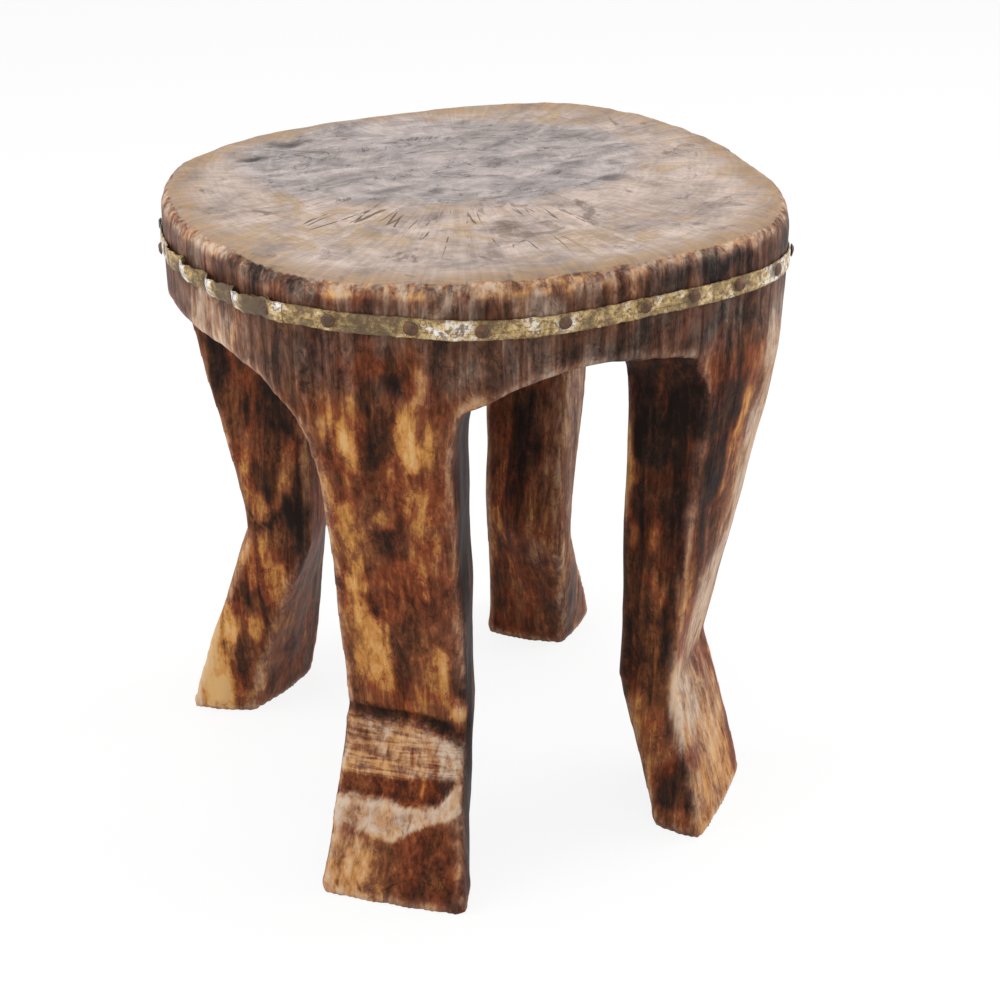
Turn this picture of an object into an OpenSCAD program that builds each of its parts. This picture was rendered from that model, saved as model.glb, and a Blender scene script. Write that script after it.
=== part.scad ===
// Carved wooden stool: a dished seat and four bent legs cut from one log,
// with a thin metal strip tacked round the rim. Sizes in millimetres, +Z up,
// origin on the floor under the middle of the seat.

/* [Seat] */
// Height of the seat's rim above the floor
seat_height = 400; // [340:5:460]
// Mean radius of the seat's outline
seat_radius = 183; // [165:1:200]
// Thickness of the seat at its edge, on average
seat_thickness = 62; // [50:1:75]
// How far the seat's lower edge rises and dips round the rim
edge_sway = 10; // [0:1:12]
// Depth of the worn hollow in the top
dish_depth = 5; // [1:0.5:10]
// Radius of the worn upper edge
rim_round = 9; // [4:1:14]
// Radius of the worn lower edge
lower_round = 3; // [1:0.5:6]

/* [Legs] */
// Height of the knee, where a leg is slimmest
knee_height = 115; // [90:5:140]
// How far the outside of a knee stands in from the seat's mean radius
knee_inset = 30; // [20:1:40]
// How far the outside of a foot stands out past the seat's mean radius
foot_outset = 3; // [-8:1:16]
// Width of a leg above its knee
leg_width = 80; // [64:1:92]
// Width of a foot's outer edge
foot_width = 86; // [70:1:100]
// Thickness of a leg at its knee
knee_thickness = 33; // [26:1:42]
// Thickness of a foot
foot_thickness = 39; // [32:1:50]
// Thickness of a leg where it meets the seat
root_thickness = 68; // [54:1:80]
// How far a leg widens where it runs into the seat
root_flare = 10; // [2:1:16]
// Softness of a leg's long edges
arris_round = 5; // [2:0.5:10]

/* [Rim strip] */
// Width of the metal strip
strip_width = 11; // [8:0.5:14]
// Thickness of the metal strip
strip_thickness = 0.7; // [0.4:0.1:1.2]
// Distance of the strip's middle below the rim, on average
strip_drop = 25; // [23:1:32]
// How far the strip rises and dips round the rim
strip_sway = 5; // [0:1:6]

/* [Tacks] */
// Number of tacks round the rim
tack_count = 27; // [20:1:34]
// Diameter of a tack's head
head_diameter = 7.6; // [5:0.1:8.5]
// Height of a tack's domed head
head_height = 2; // [1:0.1:2.5]
// Diameter of a tack's shank
shank_diameter = 1.8; // [1.2:0.1:2.4]
// Length of a tack's shank from its head to its point
shank_length = 14; // [10:1:20]

/* [Fits] */
// Space between the wood and the strip
strip_clearance = 0.3; // [0.2:0.05:0.6]
// Space between a tack's head and the strip
head_clearance = 0.15; // [0.1:0.05:0.3]
// Space round a tack's shank
shank_clearance = 0.05; // [0.03:0.01:0.1]

/* [Hidden] */
// The seat's outline: azimuth and departure from the mean radius in per cent.
// It is a rounded square whose corners stand over the legs.
OUTLINE = [
    [-178, -2], [-166, -2.6], [-156, 0.4], [-146, 3.8], [-138, 2.2], [-129, -1.6],
    [-116, -2.8], [-102, -5], [-80, -5.3], [-62, -0.4], [-50, 4.6], [-40, 6],
    [-30, 4.2], [-8, 0.5], [16, 4.3], [44, 10.1], [66, -0.8],
    [90, -8.5], [113, -4.8], [138, 3.2], [158, 1.4], [168, 0]
];
// The seat's lower edge: azimuth and height as a part of its sway. It arches
// up between the legs and comes down where they run into it.
LOWER_EDGE = [
    [-176, 0], [-160, -0.2], [-148, -0.5], [-130, -1.3], [-114, -1.1],
    [-103, 0], [-92, 0.6], [-80, 0.35], [-66, -0.5], [-51, -1.3], [-25, -0.4],
    [0, 0.4], [25, -0.4], [48, -1.2], [68, -0.2], [90, 0.7], [112, -0.2],
    [133, -1.2], [153, -0.7], [167, 0]
];
knee_reach = seat_radius - knee_inset;
foot_reach = seat_radius + foot_outset;
// The strip's middle, likewise. It climbs at the front left and sags at the right.
STRIP_LINE = [
    [-178, 0], [-168, 0], [-158, 0.4], [-149, 1], [-142, 1], [-136, 0.6],
    [-124, 0.2], [-105, -0.25], [-80, -0.1], [-60, -0.5], [-42, -1.05],
    [-28, -1.7], [0, -1.2], [50, -0.8], [100, -0.8], [140, -0.9], [165, -0.7]
];
// The legs, cut by eye, so that each strays from the sizes above by a part of
// the seat's radius. Each row holds the azimuth and then, in hundredths of that
// radius, the stray of the knee's height and reach, the foot's reach, the half
// width of the leg on its clockwise and its other side, the same of the foot,
// the thickness at the knee, foot and root, and how much more the clockwise
// side spreads into the seat. Last come how far the faces turn at the knee and
// at the foot, the share of the foot's outer width that its inner face keeps,
// and how hollow the outer face is (1 is straight).
LEGS = [
    [-129.5, -5.5, -5.5, 3.4, 1, -2, 2.8, 3.6, -3.5, 4.5, -7.5, 9.5, 0, 0, 0.75, 1.3],
    [-51.2, -5.5, 1.5, -0.5, 0, 3.5, 0.8, -0.2, 3.2, -1.5, 2, 0, -0.14, -0.05, 0.97, 1],
    [48.4, -8, -6.5, 1.5, -2, -5.3, -3.2, -2.2, -2.5, 8.5, -1.5, 0, 0.34, 0, 0.8, 1.15],
    [133.3, 19, 4.4, 4, 7, 1.5, 1, 0, 9, 3, 7.5, 0, -0.33, 0.23, 0.75, 1.6]
];
// Angle between the points round the seat
azimuth_step = 3;
outline_angles = [for (a = [-180 : azimuth_step : 180 - azimuth_step]) a];
// Share of a leg's outer width that its inner face keeps above the knee
inner_share = 0.95;
// How late a leg spreads into the seat as it rises
fillet_power = 18;
// Share of its height above the knee at which a leg is as wide out as the seat
full_share = 0.94;
// How far the faces of a leg swell between their edges
face_bulge = 1.5;
// How far a sole's edge is worn back
sole_bevel = 1.5;
// Height over which a leg's outer face runs under the seat's side
lead_in = 8;
// The tack that holds the strip's ends where they overlap, half the angle of
// the overlap, and the angle over which the outer end climbs onto the inner one
tack_lap = 3;
lap_turn = 3.6;
lap_ramp = 3;
// Azimuth of the first tack, how far the first tacks stray from even spacing, and
// how far they stray down from the middle of the strip, as a part of its width
first_tack = -178.6;
TACK_SHIFT = [0, -3.5, -6.7, -9.8, -12.2, -12, -13.5, -12, -9.2, -11.7, -14.2, -16.8];
TACK_DROP = [0, 0, 0.05, -0.05, -0.05, -0.03, 0, -0.08, -0.1, -0.1, -0.1, -0.14];

// Value at x of the smooth curve through the points, which repeats every turn
function curve(points, x) =
    let (n = len(points),
         u = points[0][0] + ((x - points[0][0]) % 360 + 360) % 360,
         i = max([for (k = [0 : n - 1]) if (points[k][0] <= u) k]),
         p = [for (k = [-1 : 2]) turned(points, i + k)],
         h = p[2][0] - p[1][0],
         t = (u - p[1][0]) / h,
         m1 = h * (p[2][1] - p[0][1]) / (p[2][0] - p[0][0]),
         m2 = h * (p[3][1] - p[1][1]) / (p[3][0] - p[1][0]))
    p[1][1] * (2 * pow(t, 3) - 3 * t * t + 1) + m1 * (pow(t, 3) - 2 * t * t + t)
    + p[2][1] * (3 * t * t - 2 * pow(t, 3)) + m2 * (pow(t, 3) - t * t);

// Point k of a list that repeats every turn
function turned(points, k) =
    let (n = len(points), turn = floor(k / n))
    [points[k - n * turn][0] + 360 * turn, points[k - n * turn][1]];

function mix(a, b, t) = a + (b - a) * t;
function polar(r, a, z) = [r * cos(a), r * sin(a), z];

// Radius of the seat's side, and the direction that the side faces
function seat_r(a) = seat_radius * (1 + curve(OUTLINE, a) / 100);
function facing(a) = a - atan((seat_r(a + 0.5) - seat_r(a - 0.5)) / (seat_r(a) * PI / 180));

function lower_z(a) = seat_height - seat_thickness + edge_sway * curve(LOWER_EDGE, a);
function strip_z(a) = seat_height - strip_drop + strip_sway * curve(STRIP_LINE, a);

// Middle of the seat's outline, which stands over the origin
SEAT_X = [for (a = outline_angles) seat_r(a) * cos(a)];
SEAT_Y = [for (a = outline_angles) seat_r(a) * sin(a)];
middle = [max(SEAT_X) + min(SEAT_X), max(SEAT_Y) + min(SEAT_Y), 0] / 2;

module centred() {
    translate(-middle) children();
}

// Solid with the rings as its surface and the first and last ring as its ends
module loft(rings) {
    n = len(rings[0]);
    m = len(rings);
    sides = [for (j = [0 : m - 2], i = [0 : n - 1], half = [0, 1])
        let (k = (i + 1) % n)
        half == 0 ? [j * n + i, (j + 1) * n + i, j * n + k]
                  : [j * n + k, (j + 1) * n + i, (j + 1) * n + k]];
    bottom = [for (i = [1 : n - 2]) [0, i, i + 1]];
    top = [for (i = [1 : n - 2]) [(m - 1) * n, (m - 1) * n + i + 1, (m - 1) * n + i]];
    polyhedron(points = [for (ring = rings) each ring], faces = concat(sides, bottom, top));
}

// The seat as rings from the middle of its underside to the middle of its top
module seat() {
    under = [for (share = [0.1, 0.5, 0.85]) [for (a = outline_angles)
        polar(share * seat_r(a), a, mix(seat_height - seat_thickness + 3, lower_z(a), share * share))]];
    lower = [for (q = [0 : 30 : 90]) [for (a = outline_angles)
        polar(seat_r(a) - lower_round * (1 - sin(q)), a, lower_z(a) + lower_round * (1 - cos(q)))]];
    upper = [for (q = [0 : 15 : 90]) [for (a = outline_angles)
        polar(seat_r(a) - rim_round * (1 - cos(q)), a, seat_height - rim_round * (1 - sin(q)))]];
    hollow = [for (share = [0.92, 0.8, 0.6, 0.35, 0.08]) [for (a = outline_angles)
        polar(share * (seat_r(a) - rim_round), a,
              seat_height - dish_depth * (1 - pow(share, 3)))]];
    loft(concat(under, lower, upper, hollow));
}

// Distance from the axis to the outline along a leg, at offset t across it
function outline_at(az, t) =
    let (near = seat_r(az + asin(t / seat_radius)), r = seat_r(az + asin(t / near)))
    sqrt(r * r - t * t);

// Corner of a quadrilateral at b, softened between its neighbours a and c
function soft_corner(a, b, c, size) =
    let (p = b + (a - b) * size / norm(a - b), q = b + (c - b) * size / norm(c - b))
    [for (u = [0, 0.33, 0.67, 1]) (1 - u) * (1 - u) * p + 2 * u * (1 - u) * b + u * u * q];

// How far leg i strays from the common sizes, in millimetres
function strays(i) = LEGS[i] * seat_radius / 100;

// Section of leg i at height z, as points of radius and offset. inset draws it in.
function leg_section(i, z, inset = 0) =
    let (az = LEGS[i][0],
         g = strays(i),
         knee = knee_height + g[1],
         meet = lower_z(az) + 6,
         s = min(1, max(0, (z - knee) / (meet - knee))),
         f = min(1, max(0, 1 - z / knee)),
         flare = root_flare * pow(s, fillet_power),
         spread = g[11] * pow(s, fillet_power),
         minus = mix((leg_width / 2) + g[4], (foot_width / 2) + g[6], f * f) + flare + spread - inset,
         plus = mix((leg_width / 2) + g[5], (foot_width / 2) + g[7], f * f) + flare - inset,
         share = mix(inner_share, LEGS[i][14], f * f),
         turn = mix(LEGS[i][12] * (1 - s), LEGS[i][13], f),
         low = mix(knee_reach + g[2], foot_reach + g[3], 1.2 * f - 0.2 * f * f),
         thick = f > 0 ? mix(knee_thickness + g[8], foot_thickness + g[9], f)
                       : mix(knee_thickness + g[8], root_thickness + g[10], s) + 0.3 * flare,
         drop = z > meet ? 4 : -0.4,
         rise = pow(min(1, s / full_share), LEGS[i][15]),
         out = function (t) mix(low + turn * t, outline_at(az, t) - drop, rise) - inset,
         inn = function (t) low - thick + turn * t + mix(0, outline_at(az, 0) - low, rise) + inset,
         a = [out(-minus), -minus],
         b = [out(plus), plus],
         c = [inn(plus * share), plus * share],
         d = [inn(-minus * share), -minus * share],
         bulge = face_bulge * (1 - s))
    concat(soft_corner(d, a, b, arris_round),
           [for (k = [-0.66, -0.33, 0, 0.33, 0.66]) let (t = k * (k < 0 ? minus : plus))
               [out(t) + bulge * (1 - k * k), t]],
           soft_corner(a, b, c, arris_round), [(b + c) / 2 + [0, bulge]],
           soft_corner(b, c, d, arris_round), [[inn(0) - 2 * bulge, 0]],
           soft_corner(c, d, a, arris_round), [(d + a) / 2 - [0, bulge]]);

// Leg i, from its flat sole into the seat
module leg(i) {
    az = LEGS[i][0];
    knee = knee_height + strays(i)[1];
    meet = lower_z(az) + 6;
    levels = concat([sole_bevel], [for (k = [1 : 5]) knee * k / 5],
        [for (s = [0.04, 0.12, 0.25, 0.4, 0.55, 0.7, 0.8, 0.88, 0.94, 1]) mix(knee, meet, s)],
        [meet + lead_in, meet + 0.4 * seat_thickness]);
    rings = concat([leg_section(i, 0, sole_bevel)], [for (z = levels) leg_section(i, z)]);
    heights = concat([0], levels);
    rotate([0, 0, az])
        loft([for (k = [0 : len(rings) - 1]) [for (p = rings[k]) [p[0], p[1], heights[k]]]]);
}

// Place of tack i: azimuth, height and distance from the wood
function tack_az(i) =
    let (last = len(TACK_SHIFT) - 1)
    first_tack + 360 * i / tack_count + (i <= last ? TACK_SHIFT[i]
        : TACK_SHIFT[last] * (1 - (i - last) / (tack_count - last)));
function tack_z(i) = strip_z(tack_az(i)) - strip_width * TACK_DROP[i % len(TACK_DROP)];
function strip_layers(i) = i == tack_lap ? 2 : 1;
function layer_out(layers) = strip_clearance + layers * strip_thickness
    + (layers - 1) * strip_clearance;

function tack_name(i) = str("tack_", i < 9 ? "0" : "", i + 1);

// Puts its children at tack i, with +Z out of the wood
module at_tack(i, out = 0) {
    a = tack_az(i);
    translate(polar(seat_r(a), a, tack_z(i)))
        rotate([0, 90, facing(a)])
            translate([0, 0, out])
                children();
}

module tack_holes() {
    for (i = [0 : tack_count - 1])
        at_tack(i, 2 * strip_clearance - shank_length)
            cylinder(d = shank_diameter + 2 * shank_clearance, h = shank_length + 6, $fn = 24);
}

module carved_body() {
    color([0.33, 0.2, 0.13])
        centred()
            difference() {
                union() {
                    seat();
                    for (i = [0 : len(LEGS) - 1]) leg(i);
                }
                tack_holes();
            }
}

// The strip starts against the wood and ends over its own start
module rim_strip() {
    start = tack_az(tack_lap) - lap_turn;
    finish = tack_az(tack_lap) + lap_turn + 360;
    steps = [for (a = [ceil(start / azimuth_step) * azimuth_step : azimuth_step : finish]) a];
    stops = concat([start], [for (a = steps) if (a > start + 0.1 && a < finish - 0.1) a], [finish]);
    lift_start = start + 360 - lap_ramp - 1;
    lift = function (a) let (t = min(1, max(0, (a - lift_start) / lap_ramp)))
        t * t * (3 - 2 * t) * (strip_thickness + strip_clearance);
    section = [[0, -1], [1, -1], [1, 1], [0, 1]];
    color([0.72, 0.7, 0.64])
        centred()
            difference() {
                loft([for (a = stops) [for (q = section)
                    polar(seat_r(a) + strip_clearance + lift(a) + q[0] * strip_thickness, a,
                          strip_z(a) + q[1] * strip_width / 2)]]);
                tack_holes();
            }
}

// One tack: domed head, straight shank, point
module tack(i) {
    r = head_diameter / 2;
    point = 2 * shank_diameter;
    profile = concat(
        [[0, -shank_length], [shank_diameter / 2, point - shank_length],
         [shank_diameter / 2, 0], [r, 0], [r, 0.2 * head_height]],
        [for (q = [15 : 15 : 90]) [r * cos(q), head_height * (0.2 + 0.8 * sin(q))]]);
    color([0.3, 0.18, 0.12])
        centred()
            at_tack(i, layer_out(strip_layers(i)) + head_clearance)
                rotate_extrude($fn = 36) polygon(profile);
}

carved_body();
rim_strip();
for (i = [0 : tack_count - 1])
    tack(i);
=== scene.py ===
"""Carved wooden stool: the worn, scorched wood, the nailed rim strip and its
tacks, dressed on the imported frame. Metres, +Z up, origin on the floor."""
import math

import bmesh
import bpy
import numpy as np
from mathutils import Matrix, Vector, noise


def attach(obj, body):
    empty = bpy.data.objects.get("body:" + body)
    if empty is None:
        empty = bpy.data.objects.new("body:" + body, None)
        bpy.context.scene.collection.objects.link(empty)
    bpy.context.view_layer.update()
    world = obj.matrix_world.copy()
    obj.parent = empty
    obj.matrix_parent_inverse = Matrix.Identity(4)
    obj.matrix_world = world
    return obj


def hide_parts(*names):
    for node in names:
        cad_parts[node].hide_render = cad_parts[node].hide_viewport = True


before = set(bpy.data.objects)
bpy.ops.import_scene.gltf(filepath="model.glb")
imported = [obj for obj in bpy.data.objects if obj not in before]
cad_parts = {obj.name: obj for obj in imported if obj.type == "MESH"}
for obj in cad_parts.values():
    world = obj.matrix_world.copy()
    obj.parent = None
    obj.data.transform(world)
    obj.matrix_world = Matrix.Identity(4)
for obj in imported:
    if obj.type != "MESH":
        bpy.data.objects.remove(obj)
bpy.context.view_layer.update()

bl_info = {
    "name": "Carved Stool",
    "version": (1, 0, 0),
    "blender": (4, 5, 0),
    "location": "3D View > Sidebar > Stool",
    "description": "Carves, trims and finishes a wooden stool cut from one log",
    "category": "Object",
}

MM, PERCENT = 0.001, 0.01

# Where the log's own axis stands, and the azimuth of each leg in degrees
LOG_AXIS = Vector((-0.0029, 0.0018, 0))
AXIS = np.array(LOG_AXIS)
LEGS = {"front_left": -129.5, "front_right": -51.2, "back_right": 48.4, "back_left": 133.3}
# A leg's wood lies farther out than LEG_START, within LEG_HALF to each side of
# its azimuth and below LEG_TOP
LEG_START, LEG_HALF, LEG_TOP = 0.05, 0.075, 0.35
RIM_Z = 0.4
# Distances from the log's axis: outside all wood, and inside the ring of legs
OUTSIDE, INSIDE = 0.4, 0.02
TACKS = sorted(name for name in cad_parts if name.startswith("tack_"))
LAP_TACK = "tack_04"


# ---------------------------------------------------------------- settings

def setting(name, about, value, unit="LENGTH", subtype="COLOR"):
    """A size in metres or a colour, unless unit or subtype says otherwise."""
    if isinstance(value, tuple):
        return bpy.props.FloatVectorProperty(
            name=name, description=about, default=value, size=3, subtype=subtype)
    return bpy.props.FloatProperty(name=name, description=about, default=value, unit=unit)


class StoolWoodSettings(bpy.types.PropertyGroup):
    grid: setting("Surface grid", "Spacing of the points that are carved", 0.0029)
    scoop_width: setting("Scoop width", "Width of one cut of the adze", 0.02)
    scoop_height: setting("Scoop height", "Height of one cut of the adze", 0.046)
    scoop_depth: setting("Scoop depth", "Depth of one cut of the adze", 0.0009)
    sway: setting("Hand sway", "How far the hand-cut faces wander", 0.0011)
    nibble: setting("Rim wear", "How far the rim's upper edge is worn away", 0.0004)
    dark: setting("Scorch", "Colour of the scorched wood", (0.018, 0.0075, 0.0045))
    brown: setting("Brown", "Colour of the stained wood", (0.13, 0.042, 0.0155))
    amber: setting("Amber", "Colour of the rubbed wood", (0.43, 0.185, 0.045))
    straw: setting("Straw", "Colour of the wood where the finish has gone", (0.64, 0.38, 0.15))
    seat: setting("Seat", "Colour of the worn end grain", (0.44, 0.35, 0.305))
    heart: setting("Heartwood", "Colour of the dark middle of the seat", (0.36, 0.32, 0.31))


class StoolTrimSettings(bpy.types.PropertyGroup):
    lift: setting("Lift", "How far the strip stands off between its tacks", 0.0007)
    loose_lift: setting("Loose lift", "The same where the strip has come loose", 0.0055)
    fold: setting("Fold", "How far the folded lower part stands out", 0.0005)
    gauge: setting("Thickness", "Thickness of the sheet", 0.0006)
    zinc: setting("Zinc", "Colour of the bare metal", (0.8, 0.77, 0.71))
    tarnish: setting("Tarnish", "Colour of the tarnished metal", (0.5, 0.34, 0.13))
    rust: setting("Rust", "Colour of the rust", (0.13, 0.055, 0.02))
    iron: setting("Iron", "Colour of the tack heads", (0.075, 0.045, 0.032))


class StoolStageSettings(bpy.types.PropertyGroup):
    camera_place: setting("Camera place", "Where the camera stands",
                          (-0.45007, -1.0017, 0.74296), subtype="TRANSLATION")
    camera_turn: setting("Camera turn", "How the camera is turned",
                         (math.radians(63.04), 0, math.radians(-25)), subtype="EULER")
    lens: setting("Lens", "Focal length in millimetres", 67.62, unit="NONE")
    floor: setting("Floor", "Length of the floor's sides", 24)
    surround: setting("Surround", "Strength of the light from all round", 0.5, unit="NONE")
    lamps: setting("Lamps", "Factor on all the lamps", 1, unit="NONE")


# ------------------------------------------------------------- small tools

def pick(*pieces):
    """Selects these pieces alone and makes the first one active."""
    bpy.ops.object.select_all(action="DESELECT")
    for piece in pieces:
        piece.select_set(True)
    bpy.context.view_layer.objects.active = pieces[0]


def placed(name, data):
    """A new object in the scene with this data."""
    piece = bpy.data.objects.new(name, data)
    bpy.context.collection.objects.link(piece)
    return piece


def apply_modifier(piece, kind, **options):
    """Gives a piece one modifier with these options and applies it."""
    pick(piece)
    modifier = piece.modifiers.new(kind.title(), kind)
    for option, value in options.items():
        setattr(modifier, option, value)
    bpy.ops.object.modifier_apply(modifier=modifier.name)


def select_where(piece, test):
    """In edit mode, selects the vertices for which test(place) holds."""
    cage = bmesh.from_edit_mesh(piece.data)
    for vertex in cage.verts:
        vertex.select = test(vertex.co)
    cage.select_flush_mode()
    bmesh.update_edit_mesh(piece.data)


def turn_outward():
    """In edit mode, turns all the faces outward."""
    bpy.ops.mesh.select_all(action="SELECT")
    bpy.ops.mesh.normals_make_consistent(inside=False)


def merged_copy(name, node):
    """A new piece with its own merged copy of a CAD node's mesh."""
    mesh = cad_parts[node].data.copy()
    mesh.name = name
    mesh.materials.clear()
    piece = placed(name, mesh)
    pick(piece)
    bpy.ops.object.mode_set(mode="EDIT")
    bpy.ops.mesh.select_all(action="SELECT")
    bpy.ops.mesh.remove_doubles(threshold=0.01 * MM)
    turn_outward()
    bpy.ops.object.mode_set(mode="OBJECT")
    return piece


def vectors(items, key):
    """One vector of each mesh item, as rows."""
    flat = np.empty(len(items) * 3, dtype=np.float32)
    items.foreach_get(key, flat)
    return flat.reshape(-1, 3).astype(float)


def surface(mesh):
    """The places and the normals of a mesh's vertices."""
    return vectors(mesh.vertices, "co"), vectors(mesh.vertices, "normal")


def put_points(mesh, points):
    mesh.vertices.foreach_set("co", points.astype(np.float32).ravel())
    mesh.update()


def paint(mesh, name, values):
    """Stores one number a vertex, for the material to read."""
    layer = mesh.attributes.new(name, "FLOAT", "POINT")
    layer.data.foreach_set("value", values.astype(np.float32))


def step(low, high, values):
    """A smooth step from 0 at low to 1 at high."""
    share = np.clip((values - low) / (high - low), 0, 1)
    return share * share * (3 - 2 * share)


def ridge(gap, half):
    """1 on a line, fading to 0 at both sides of it."""
    return np.exp(-(gap / half) ** 2)


def lumps(points, size, seed):
    """Smooth noise, about -1 to 1, with lumps `size` metres wide."""
    shifted = points / np.asarray(size, dtype=float) + 7.31 * seed
    return 1.6 * np.array([noise.noise(Vector(row)) for row in shifted])


def wobble(points, size, seed):
    """Smooth noise of its own along each of the three axes."""
    return np.stack([lumps(points, size, seed + axis) for axis in range(3)], axis=1)


def cells(points, size, seed):
    """Distance to the middle of the nearest cell, 0 there and about 1 at its edge."""
    shifted = points / np.asarray(size, dtype=float) + 3.17 * seed
    return np.array([noise.voronoi(Vector(row))[0][0] for row in shifted])


def polar(azimuth, radius=1.0, z=0.0):
    turn = math.radians(azimuth)
    return Vector((radius * math.cos(turn), radius * math.sin(turn), z))


def turn_gap(a, b):
    """Angle from b to a, from -180 to 180."""
    return (a - b + 180) % 360 - 180


def on_log(body, azimuth, z):
    """Where a line at this azimuth and height runs into the log from outside."""
    start = LOG_AXIS + polar(azimuth, OUTSIDE, z)
    found, place, _, _ = body.ray_cast(start, -polar(azimuth))
    if not found:
        raise RuntimeError(f"The log isn't there at {azimuth} degrees, {z} m up")
    return place


def on_leg(body, leg, face, across, z):
    """A place on a leg. On its outer or inner face, across is the distance in
    metres from the leg's middle. On its left or right side, seen from outside,
    it is the share of the way from the outer face to the inner one."""
    off_middle, off_leg = 0.025, 0.12
    out = polar(LEGS[leg])
    along = Vector((-out.y, out.x, 0))
    high = LOG_AXIS + Vector((0, 0, z))
    if face == "outer":
        start, way = high + OUTSIDE * out + across * along, -out
    elif face == "inner":
        start, way = high + INSIDE * out + across * along, out
    else:
        sign = 1 if face == "right" else -1
        side = off_middle * sign * along
        outer = body.ray_cast(high + OUTSIDE * out + side, -out)[1]
        inner = body.ray_cast(high + INSIDE * out + side, out)[1]
        start, way = outer.lerp(inner, across) + off_leg * sign * along, -sign * along
    found, place, _, _ = body.ray_cast(start, way)
    return place if found else start


# --------------------------------------------------------------- the wood

# Marks by leg and face, mostly wear, and on the front right leg's outer face
# painted sheen: place across the face and height in millimetres
# (on a side face, the percentage of its depth and the height), half width and half
# height in millimetres, and by what percentage it is paler (+) or darker (-) and
# greyer. The last is left out where it is 0. A mark is drawn a little slimmer and
# taller than this, and a dark one paler.
MARK_WIDE, MARK_TALL, MARK_DARK = 0.85, 1.15, 0.75
LEG_MARKS = {
    ("front_left", "outer"): [
        (-20, 307, 9, 12, 30), (12, 305, 6, 20, 38), (22, 312, 5, 22, 25), (17, 336, 6, 10, 22),
        (-3, 308, 8, 16, -30), (-11, 333, 8, 9, -30), (7, 338, 7, 7, -25), (-34, 320, 6, 16, 22),
        (-35, 273, 5, 16, 25), (-7, 249, 7, 8, 30), (14, 262, 9, 18, 14), (1, 278, 6, 12, -20),
        (-28, 246, 5, 20, 24), (-26, 208, 6, 16, 32), (19, 219, 10, 24, 12), (17, 203, 5, 5, 20),
        (0, 232, 9, 14, -20), (-38, 207, 10, 9, -40), (-21, 196, 9, 4, -25),
        (-24, 176, 14, 18, 22), (-21, 142, 14, 22, 32), (5, 170, 9, 18, -30), (1, 136, 7, 22, -20),
        (21, 145, 7, 18, 30), (29, 118, 9, 10, 34), (41, 215, 5, 80, -25, 10),
        (34, 140, 5, 18, -30), (-18, 98, 14, 6, 14, 40), (28, 88, 9, 9, 12, 50),
        (-12, 88, 5, 4, -25, 30), (-27, 24, 10, 14, 20, 10), (14, 24, 20, 15, -6),
        (38, 14, 8, 22, -25), (-15, 3, 36, 4, -20),
    ],
    ("front_left", "right"): [
        (50, 230, 30, 110, -14, 8), (50, 60, 30, 50, -16, 5),
    ],
    ("back_left", "right"): [
        (25, 272, 10, 25, -40), (10, 288, 5, 15, 5), (55, 272, 5, 28, 15), (85, 256, 14, 30, -30),
        (5, 250, 6, 9, -30), (35, 210, 7, 20, 22), (80, 206, 8, 26, 24), (52, 198, 6, 12, -25),
        (30, 182, 12, 11, 22), (65, 182, 9, 12, 18), (0, 202, 3, 34, -30), (40, 168, 22, 2, -30),
        (90, 168, 10, 20, -30), (40, 148, 6, 13, 32), (62, 146, 4, 13, 22), (40, 120, 12, 17, 15),
        (70, 124, 9, 17, 22), (100, 140, 8, 60, -35), (40, 103, 18, 4, -20), (62, 80, 6, 12, 30),
        (30, 74, 9, 13, 30), (42, 62, 6, 18, 32), (15, 44, 18, 28, 48), (34, 20, 24, 16, 40),
        (5, 7, 14, 10, 20), (60, 42, 9, 18, -10), (66, 12, 9, 9, -25),
    ],
    ("back_left", "inner"): [
        (25, 40, 12, 18, 14),
    ],
    ("back_left", "outer"): [
        (0, 60, 30, 40, 20, 10), (0, 240, 30, 50, 10, 10),
    ],
    ("back_right", "inner"): [
        (18, 108, 7, 18, 28), (30, 198, 3, 16, 15), (-4, 180, 15, 36, -35, 10),
        (3, 122, 8, 26, -30), (28, 41, 8, 10, -25), (5, 66, 10, 20, 8), (-12, 90, 7, 22, 8, 20),
        (22, 84, 8, 12, 16),
    ],
    ("back_right", "left"): [
        (50, 170, 30, 90, 14, 50), (60, 40, 25, 30, -5, 30),
    ],
    ("back_right", "outer"): [
        (0, 240, 30, 50, 12, 10), (0, 50, 30, 40, 16, 20),
    ],
    ("front_right", "left"): [
        (45, 203, 8, 18, 26), (35, 164, 6, 22, 30), (60, 168, 6, 20, 14), (97, 272, 7, 16, 40),
        (94, 246, 8, 16, 32), (85, 207, 5, 24, 28), (98, 180, 4, 32, -20),
        (75, 286, 14, 25, -25, 10), (30, 300, 20, 20, -25), (50, 82, 10, 20, 16),
        (30, 62, 8, 15, 20), (70, 44, 10, 17, 22), (50, 8, 22, 8, 30), (15, 130, 5, 60, -20),
        (86, 321, 9, 4, 32, 90), (40, 90, 24, 60, 18),
    ],
    # The large pale, grey marks on this face are painted sheen from light on the right.
    ("front_right", "outer"): [
        (27, 258, 27, 88, 36, 95), (8, 150, 36, 46, 34, 90), (-24, 285, 24, 40, -32),
        (-28, 222, 18, 34, -30), (-7, 280, 7, 24, 42), (-13, 250, 7, 20, 36),
        (-20, 212, 5, 24, 30), (-20, 88, 24, 24, 26, 80), (10, 66, 32, 32, 20, 35),
        (-5, 28, 42, 30, 24, 15), (-32, 40, 9, 22, 10, 30),
    ],
}
# How pale each leg is on its outer face and on its other faces
LEG_TONES = {"front_left": (0.49, 0.26), "back_left": (0.48, 0.4),
             "back_right": (0.44, 0.42), "front_right": (0.48, 0.22)}
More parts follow.
